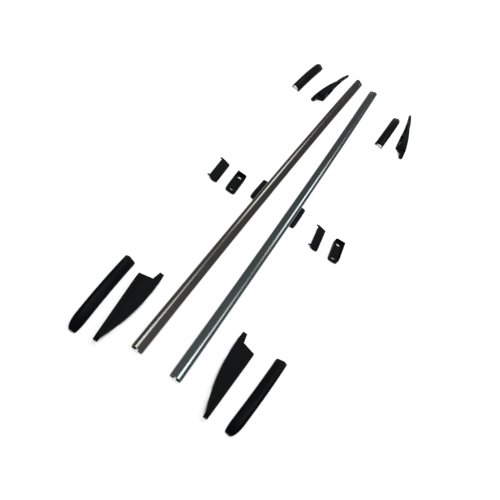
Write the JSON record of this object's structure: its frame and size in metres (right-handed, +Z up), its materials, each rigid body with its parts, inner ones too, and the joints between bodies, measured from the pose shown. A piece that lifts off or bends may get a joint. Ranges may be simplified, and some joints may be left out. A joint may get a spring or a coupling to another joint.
{
  "type": "roof side rail pair",
  "caption": "Pair of arched roof side rails with their middle feet fixed on, and the loose end feet, end covers, middle bases and middle covers laid beside them.",
  "frame": {"origin": "centre of the bounding box's underside, on the floor the kit lies on", "axes": "+Y from the front ends of the rails to their rear ends, +X to the right, +Z up"},
  "size_m": [0.613, 1.843, 0.0443],
  "materials": {
    "rail": "satin dark grey anodised",
    "foot": "moulded black, fine grain",
    "cover": "moulded black, fine grain",
    "seal": "soft black foam rubber",
    "steel": "zinc plated"
  },
  "bodies": {
    "root": {"left_rail": "rail", "right_rail": "rail", "left_mid_foot": "foot", "right_mid_foot": "foot", "slide_nuts": "steel", "foot_screws": "steel", "foot_sleeves": "steel", "base_sleeves": "steel", "left_mid_base": "foot", "right_mid_base": "foot", "left_mid_seal": "seal", "right_mid_seal": "seal", "left_mid_cover": "foot", "right_mid_cover": "foot", "front_left_foot": "foot", "front_right_foot": "foot", "rear_left_foot": "foot", "rear_right_foot": "foot", "front_left_seal": "seal", "front_right_seal": "seal", "rear_left_seal": "seal", "rear_right_seal": "seal", "front_left_cover": "cover", "front_right_cover": "cover", "rear_left_cover": "cover", "rear_right_cover": "cover"}
  },
  "joints": []
}
